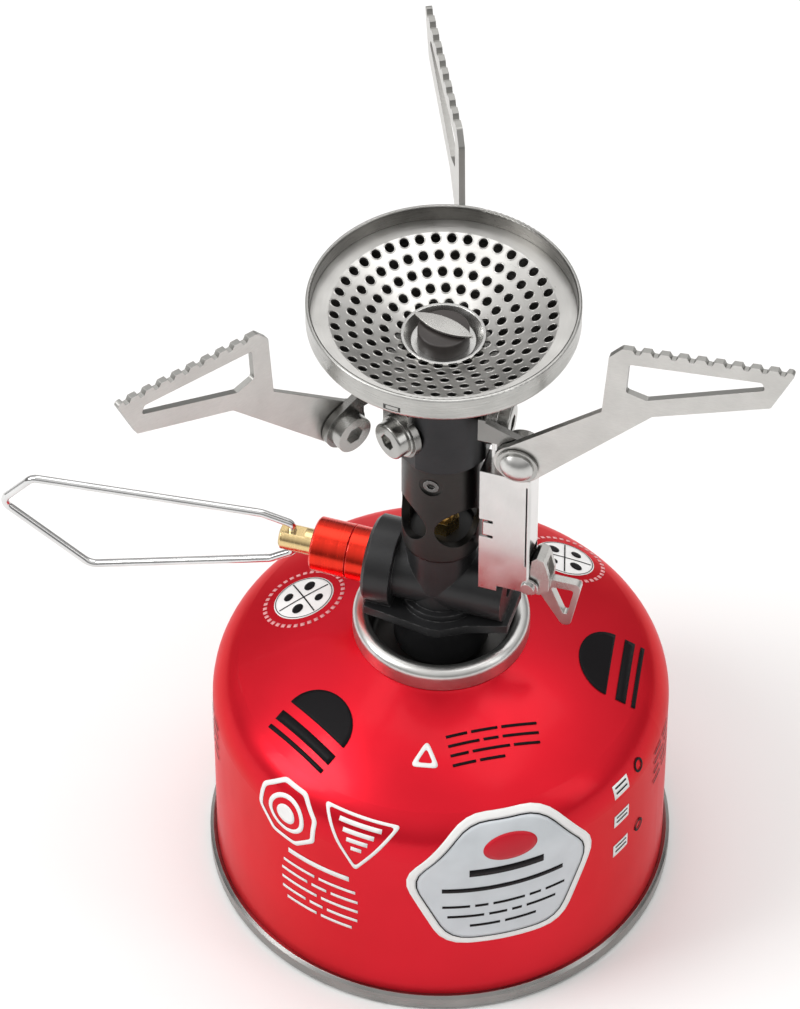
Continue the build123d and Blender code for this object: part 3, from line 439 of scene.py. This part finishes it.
# ---------------------------------------------------------------- canister surface and its prints
# the profile in radius and height: wall, shoulder arc up to the crest, then the dome's own arc,
# which leaves the crest without a corner and ends at DOME_INNER
crest = Vector((WALL_R - SHOULDER_R * (1 - cos(SHOULDER_TURN)),
                WALL_TOP + SHOULDER_R * sin(SHOULDER_TURN)))
dome_in = Vector((-cos(SHOULDER_TURN), -sin(SHOULDER_TURN)))
span = DOME_INNER - crest
DOME_R = span.length_squared / (2 * span.dot(dome_in))
dome_centre = crest + dome_in * DOME_R

# the prints' layers stand this far off the paint, and each is a skin INK_THICKNESS thick
LAYER_1, LAYER_2, LAYER_3 = 0.00006, 0.00011, 0.00016
INK_THICKNESS = 0.000012
CORNER_STEPS, SIDE_STEP, BAR_STEP = 4, 0.0012, 0.0010


def wall_point(azimuth, arc, lift):
    """Point on the painted wall or shoulder, from its azimuth in radians and its arc length up
    the side, lifted outward."""
    if arc <= WALL_TOP:
        r, z, out, up = WALL_R, arc, 1.0, 0.0
    else:
        turn = (arc - WALL_TOP) / SHOULDER_R
        out, up = cos(turn), sin(turn)
        r, z = WALL_R - SHOULDER_R * (1 - out), WALL_TOP + SHOULDER_R * up
    r, z = r + lift * out, z + lift * up
    return Vector((r * cos(azimuth), r * sin(azimuth), z))


def dome_point(x, y, lift):
    """Point on the dome over a place in plan, lifted along the dome's normal."""
    r = hypot(x, y)
    if r > crest.x:
        out = min(1.0, (r - WALL_R + SHOULDER_R) / SHOULDER_R)
        z = WALL_TOP + SHOULDER_R * sqrt(1 - out * out)
    else:
        z = dome_centre.y + sqrt(DOME_R ** 2 - (r - dome_centre.x) ** 2)
        out = (r - dome_centre.x) / DOME_R
    return Vector((x, y, z)) + Vector((x / r * out, y / r * out, sqrt(1 - out * out))) * lift


def oval(width, height, count=64):
    """Closed elliptical outline round the origin."""
    points = []
    for k in range(count):
        a = 2 * pi * k / count
        points.append(Vector((width / 2 * cos(a), height / 2 * sin(a))))
    return points


def rounded(corners, cut):
    """Closed polygon with its corners rounded over a length, and points along its sides."""
    points = []
    n = len(corners)
    for k in range(n):
        before, here, after = (Vector(corners[(k + j) % n]) for j in (-1, 0, 1))
        first = here + (before - here).normalized() * cut
        last = here + (after - here).normalized() * cut
        for step in range(CORNER_STEPS + 1):
            t = step / CORNER_STEPS
            points.append(first * (1 - t) ** 2 + here * 2 * t * (1 - t) + last * t * t)
        gap = after + (here - after).normalized() * cut - last
        steps = max(2, int(gap.length / SIDE_STEP))
        points += [last + gap * step / steps for step in range(1, steps)]
    return points


def shrunk(points, factor):
    """The outline scaled about its own middle."""
    middle = sum(points, Vector((0, 0))) / len(points)
    return [middle + (p - middle) * factor for p in points]


def rings_between(points, outer, inner, rings):
    """Copies of an outline scaled from outer to inner, for quads between them."""
    return [shrunk(points, outer + (inner - outer) * k / rings) for k in range(rings + 1)]


class Print:
    """All prints of one ink, gathered in one mesh at one lift off the surface."""

    def __init__(self, name, material, lift):
        self.name, self.material, self.lift = name, material, lift
        self.mesh = bmesh.new()

    def ring(self, place, loops):
        """A band of quads through loops of equal length."""
        rows = [[self.mesh.verts.new(place(p, self.lift)) for p in loop] for loop in loops]
        for a, b in zip(rows, rows[1:]):
            for k in range(len(a)):
                j = (k + 1) % len(a)
                self.mesh.faces.new((a[k], a[j], b[j], b[k]))
        return rows[-1]

    def solid(self, place, points, rings):
        """A filled outline: bands inwards, and one face in the middle."""
        last = self.ring(place, rings_between(points, 1.0, 0.12, rings))
        self.mesh.faces.new(last)

    def bar(self, place, centre, width, height, turn=0.0):
        """A filled rectangle, divided so that it follows the surface."""
        across, tall = Vector((cos(turn), sin(turn))), Vector((-sin(turn), cos(turn)))
        nx, ny = max(1, int(width / BAR_STEP)), max(1, int(height / BAR_STEP))
        rows = []
        for j in range(ny + 1):
            row = []
            for k in range(nx + 1):
                p = Vector(centre) + across * width * (k / nx - 0.5)
                p += tall * height * (j / ny - 0.5)
                row.append(self.mesh.verts.new(place(p, self.lift)))
            rows.append(row)
        for a, b in zip(rows, rows[1:]):
            for k in range(nx):
                self.mesh.faces.new((a[k], a[k + 1], b[k + 1], b[k]))

    def done(self):
        """Turns the gathered faces outward and makes the piece."""
        bmesh.ops.recalc_face_normals(self.mesh, faces=self.mesh.faces)
        data = bpy.data.meshes.new(self.name)
        out = sum(f.normal.dot(f.calc_center_median().normalized()) for f in self.mesh.faces)
        if out < 0:
            bmesh.ops.reverse_faces(self.mesh, faces=self.mesh.faces)
        self.mesh.to_mesh(data)
        self.mesh.free()
        data.polygons.foreach_set("use_smooth", [True] * len(data.polygons))
        piece = bpy.data.objects.new(self.name, data)
        scene.collection.objects.link(piece)
        data.materials.append(self.material)
        skin = piece.modifiers.new("ink", "SOLIDIFY")
        skin.thickness, skin.offset = INK_THICKNESS, -1.0
        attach(piece, "stove")


def turned(p, turn):
    """A flat print's point, turned in the print's own plane."""
    return p.x * cos(turn) - p.y * sin(turn), p.x * sin(turn) + p.y * cos(turn)


def on_wall(azimuth, arc, turn=0.0):
    """Places a flat print on the side of the canister."""
    def place(p, lift):
        x, y = turned(p, turn)
        return wall_point(radians(azimuth) + x / WALL_R, arc + y, lift)
    return place


def on_dome(azimuth, radius, turn=0.0):
    """Places a flat print on the dome, its top towards the column."""
    centre = Vector((radius * cos(radians(azimuth)), radius * sin(radians(azimuth))))
    up, right = -centre.normalized(), Vector((-sin(radians(azimuth)), cos(radians(azimuth))))
    def place(p, lift):
        x, y = turned(p, turn)
        q = centre + right * x + up * y
        return dome_point(q.x, q.y, lift)
    return place


white = Print("print_white", printed("ink_white", (0.88, 0.87, 0.86)), LAYER_1)
silver = Print("print_silver", printed("ink_silver", (0.62, 0.65, 0.68), 0.34, 0.15), LAYER_2)
black = Print("print_black", printed("ink_black", (0.006, 0.005, 0.006), 0.45, gloss=0.1), LAYER_3)
blush = Print("print_blush", printed("ink_blush", (0.80, 0.33, 0.34)), LAYER_1)
crimson = Print("print_crimson", printed("ink_crimson", (0.55, 0.006, 0.02)), LAYER_3)


def words(ink, place, left, y, widths, height, gap):
    """A row of plain bars that stands where a line of text was, with their widths in mm."""
    x = left
    for width in widths:
        ink.bar(place, (x + width * MM / 2, y), width * MM, height)
        x += width * MM + gap


# large six-sided label: white border, silver ground with a thin black line, red oval, plain bars
hexagon = [(-20.4, 2.5), (-7.6, 18.4), (9.6, 17.8), (20.4, 2.0), (12.5, -17.6), (-12.0, -16.8)]
hexagon = [(x * MM, y * MM) for x, y in hexagon]
label = on_wall(-56.8, 0.0362)
shape = rounded(hexagon, 0.0048)
white.ring(label, rings_between(shape, 1.0, 0.90, 3))
silver.solid(label, shrunk(shape, 0.905), 14)
black.ring(label, rings_between(shape, 0.905, 0.893, 1))
crimson.solid(label, [p + Vector((0.0012, 0.0102)) for p in oval(0.0110, 0.0062)], 4)
black.bar(label, (0.0005, 0.0044), 0.0150, 0.0020)
black.bar(label, (0.0, -0.0006), 0.0246, 0.0012)
words(black, label, -0.0122, -0.0056, (5.4, 2.6, 6.4, 2.4, 4.2), 0.0007, 0.0010)
words(black, label, -0.0112, -0.0086, (7.2, 3.6, 2.0, 6.2), 0.0007, 0.0010)
words(black, label, -0.0068, -0.0116, (6.0, 6.4), 0.0007, 0.0010)

# octagon with a ring and a disc in it
octagon = [radians(22.5 + 45 * k) for k in range(8)]
octagon = [(0.0079 * cos(a), 0.0079 * sin(a)) for a in octagon]
place = on_wall(-114.7, 0.0447, radians(-3))
white.ring(place, rings_between(rounded(octagon, 0.0008), 1.0, 0.86, 2))
white.ring(place, rings_between(oval(0.0092, 0.0092, 40), 1.0, 0.78, 2))
white.solid(place, oval(0.0046, 0.0046, 28), 3)

# triangle, point down, with bars in it
place = on_wall(-94.2, 0.0470, radians(-2))
three = rounded([(-0.0086, 0.0050), (0.0086, 0.0050), (0.0002, -0.0090)], 0.0012)
white.ring(place, rings_between(three, 1.0, 0.86, 2))
for height, width in ((0.0030, 9.2), (0.0011, 6.6), (-0.0008, 4.4), (-0.0027, 2.2)):
    white.bar(place, (0.0002, height), width * MM, 0.0010)

# below the two, one long bar and five centred rows of short bars
place = on_wall(-104.9, 0.0)
white.bar(place, (0.0, 0.0346), 0.0140, 0.0014)
rows = {30.9: (7.6, 8.0), 28.1: (6.4, 3.4, 5.8), 25.3: (8.6, 8.0), 22.5: (5.8, 3.0, 6.6),
        19.9: (7.2, 6.8)}
for y, widths in rows.items():
    left = -(sum(widths) + 1.0 * (len(widths) - 1)) / 2 * MM
    words(white, place, left, y * MM, widths, 0.0008, 0.0010)

# three small plates with two rings beside them, then short rows of bars on both sides
for arc in (46.4, 37.9, 28.9):
    place = on_wall(-21.2, arc * MM)
    white.bar(place, (0, 0), 0.0046, 0.0034)
    black.bar(place, (0, 0.0009), 0.0034, 0.0004)
    black.bar(place, (0, -0.0004), 0.0034, 0.0004)
for arc in (47.0, 29.2):
    hoop = rings_between(oval(0.0028, 0.0032, 28), 1.0, 0.66, 1)
    black.ring(on_wall(-13.2, arc * MM), hoop)
for k, arc in enumerate((43.5, 40.6, 37.7, 34.8)):
    widths = ((4.0, 5.0), (5.6, 3.2), (3.0, 6.0))[k % 3]
    words(black, on_wall(2.0, arc * MM), -0.0054, 0.0, widths, 0.0005, 0.0009)
    words(black, on_wall(-154.0, arc * MM), -0.0054, 0.0, widths[::-1], 0.0006, 0.0009)

# on the dome: a rounded triangular ring, and rows of bars beside it
triad = [(0.0034 * sin(2 * pi * k / 3), 0.0034 * cos(2 * pi * k / 3)) for k in range(3)]
white.ring(on_dome(-78.4, 0.0304), rings_between(rounded(triad, 0.0014), 1.0, 0.52, 2))
place = on_dome(-51.0, 0.0288, radians(-7.5))
rows = {2.7: (4.2, 5.2, 7.0), 0.9: (6.2, 3.0, 7.2), -0.9: (3.6, 7.4, 5.2), -2.7: (4.6, 5.0)}
for y, widths in rows.items():
    words(black, place, -0.0094, y * MM, widths, 0.0005, 0.0008)

# two half discs, each with a thick and a thin bar beneath
half = [(0.0078 * cos(pi * k / 18), 0.0078 * sin(pi * k / 18)) for k in range(19)]
for azimuth, radius in ((-121.5, 0.0293), (9.0, 0.0308)):
    place = on_dome(azimuth, radius)
    black.solid(place, rounded([(x, 0.8 * y - 0.0026) for x, y in half], 0.0002), 6)
    black.bar(on_dome(azimuth, radius + 0.0055), (0, 0), 0.0156, 0.0020)
    black.bar(on_dome(azimuth, radius + 0.0080), (0, 0), 0.0156, 0.0008)

# two white discs quartered by thin lines: a spot in each quarter, small squares all round
for azimuth, radius in ((176.3, 0.0289), (60.5, 0.0336)):
    place = on_dome(azimuth, radius)
    white.solid(place, oval(0.0118, 0.0118), 6)
    black.ring(place, rings_between(oval(0.0113, 0.0113), 1.0, 0.975, 1))
    for k in range(36):
        a = 2 * pi * k / 36
        blush.bar(place, (0.0077 * cos(a), 0.0077 * sin(a)), 0.0008, 0.0008, a + pi / 2)
    for a in (pi / 4, -pi / 4):
        black.bar(place, (0, 0), 0.0104, 0.00026, a)
    for k, size in enumerate((0.0026, 0.0020, 0.0026, 0.0022)):
        spot = Vector((0.0032 * cos(k * pi / 2), 0.0032 * sin(k * pi / 2)))
        black.solid(place, [p + spot for p in oval(size, size * 0.8, 20)], 2)

for ink in (white, silver, black, blush, crimson):
    ink.done()


# ---------------------------------------------------------------- burner details
# the dish: its holes by ring radius and number, their radius, and its cone, all in mm
JET_RINGS = ((20.2, 42), (17.1, 36), (14.0, 30), (11.0, 24), (8.15, 18))
JET_R = 0.9
DISH_SLOPE, DISH_R, DISH_Z = 0.428, 21.3, 149.0
# a lip's section: distance out from the hole's edge and height over the dish, in mm
LIP_SECTION = ((-0.03, -0.04), (0.0, 0.05), (0.10, 0.09), (0.22, 0.05), (0.30, -0.04))
LIP_STEPS = 18


def raised_lips():
    """The rolled lip that stands round each jet hole of the dish."""
    mesh = bmesh.new()
    tilt = sqrt(1 + DISH_SLOPE * DISH_SLOPE)
    for ring_r, holes in JET_RINGS:
        for k in range(holes):
            a = 2 * pi * k / holes
            out = Vector((cos(a), sin(a), DISH_SLOPE)) / tilt
            side = Vector((-sin(a), cos(a), 0))
            up = Vector((-DISH_SLOPE * cos(a), -DISH_SLOPE * sin(a), 1)) / tilt
            z = DISH_Z - (DISH_R - ring_r) * DISH_SLOPE
            middle = Vector((ring_r * cos(a), ring_r * sin(a), z))
            loops = []
            for wide, high in LIP_SECTION:
                loop = []
                for step in range(LIP_STEPS):
                    t = 2 * pi * step / LIP_STEPS
                    p = middle + (out * cos(t) * tilt + side * sin(t)) * JET_R
                    p += (out * cos(t) + side * sin(t)) * wide + up * high
                    loop.append(mesh.verts.new(p * MM))
                loops.append(loop)
            loops.append(loops[0])
            for first, second in zip(loops, loops[1:]):
                for step in range(LIP_STEPS):
                    j = (step + 1) % LIP_STEPS
                    mesh.faces.new((first[step], first[j], second[j], second[step]))
    bmesh.ops.recalc_face_normals(mesh, faces=mesh.faces)
    data = bpy.data.meshes.new("jet_hole_lips")
    mesh.to_mesh(data)
    mesh.free()
    data.polygons.foreach_set("use_smooth", [True] * len(data.polygons))
    lips = bpy.data.objects.new("jet_hole_lips", data)
    scene.collection.objects.link(lips)
    data.materials.append(dish_steel)
    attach(lips, "stove")


raised_lips()


def on_rim(p, lift):
    """Places a print on the cup's outer rim: p.x is an azimuth in radians, p.y a height."""
    return Vector(((RIM_R + lift) * cos(p.x), (RIM_R + lift) * sin(p.x), p.y))


# a dark frame laid on the front of the rim as painted shade round the edges of a narrow notch
notch_shade = coated("notch_shade", (0.10, 0.098, 0.094), 0.5, 2400.0, 0.1, (0.3, 0.3, 0.3), 0.4, 0.6)
mark = Print("rim_notch", notch_shade, 0.00002)
bottom = [Vector((radians(-98.3 + 0.5 * k), NOTCH_LOW_Z)) for k in range(16)]
upper = [Vector((p.x, NOTCH_HIGH_Z)) for p in reversed(bottom)]
mark.ring(on_rim, rings_between(bottom + upper, 1.0, 0.72, 1))
mark.done()


# ---------------------------------------------------------------- floor, light and camera
FLOOR_HALF, FLOOR_GAP = 6, 0.00005
LIT_POINT = (0, 0, 0.07)

corners = [(-FLOOR_HALF, -FLOOR_HALF, 0), (FLOOR_HALF, -FLOOR_HALF, 0),
           (FLOOR_HALF, FLOOR_HALF, 0), (-FLOOR_HALF, FLOOR_HALF, 0)]
floor_mesh = bpy.data.meshes.new("floor")
floor_mesh.from_pydata(corners, [], [(0, 1, 2, 3)])
floor = bpy.data.objects.new("floor", floor_mesh)
floor.location.z = cad_low.z - FLOOR_GAP
scene.collection.objects.link(floor)
pale = Shader("floor_pale")
soft = pale.blend(pale.noise(pale.coord, 9.0, 2.0), (0.86, 0.86, 0.855), (0.88, 0.88, 0.875))
floor_mesh.materials.append(pale.finish(soft, 0.75))

# bright overhead, darker towards the horizon, as in a studio with a white ceiling
world = bpy.data.worlds.new("studio")
world.use_nodes = True
sky = world.node_tree
direction = sky.nodes.new("ShaderNodeTexCoord").outputs["Generated"]
parts = sky.nodes.new("ShaderNodeSeparateXYZ")
sky.links.new(direction, parts.inputs[0])
fade = sky.nodes.new("ShaderNodeMapRange")
fade.interpolation_type = "SMOOTHSTEP"
for key, number in {"From Min": 0.0, "From Max": 0.75, "To Min": 0.12, "To Max": 0.80}.items():
    fade.inputs[key].default_value = number
sky.links.new(parts.outputs["Z"], fade.inputs["Value"])
sky.links.new(fade.outputs["Result"], sky.nodes["Background"].inputs["Strength"])
sky.nodes["Background"].inputs["Color"].default_value = (1.0, 0.995, 0.985, 1.0)
scene.world = world


def softbox(name, place, width, height, power):
    """A rectangular soft light that faces the part, its sides in metres and its power in watts."""
    data = bpy.data.lights.new(name, "AREA")
    data.shape = "RECTANGLE"
    data.size, data.size_y, data.energy = width, height, power
    lamp = bpy.data.objects.new(name, data)
    lamp.location = place
    lamp.rotation_euler = (Vector(LIT_POINT) - Vector(place)).to_track_quat("-Z", "Y").to_euler()
    scene.collection.objects.link(lamp)


softbox("key", (-0.80, -0.45, 0.85), 0.45, 0.8, 7.2)
softbox("fill", (0.95, -0.10, 0.60), 0.25, 0.8, 1.0)
softbox("top", (0.05, 0.25, 1.25), 1.2, 0.9, 5.4)

# the photograph's viewing angle: 47.477 degrees down, from 17.5 degrees to the right of the front
camera_data = bpy.data.cameras.new("camera")
camera_data.sensor_width = 36.0
camera_data.lens = 210.14
camera_data.clip_start, camera_data.clip_end = 0.05, 50.0
camera = bpy.data.objects.new("camera", camera_data)
camera.location = (0.2205, -0.7261, 0.9244)
camera.rotation_euler = (radians(90 - 47.477), 0, radians(17.5))
scene.collection.objects.link(camera)
scene.camera = camera
scene.view_settings.view_transform = "Standard"
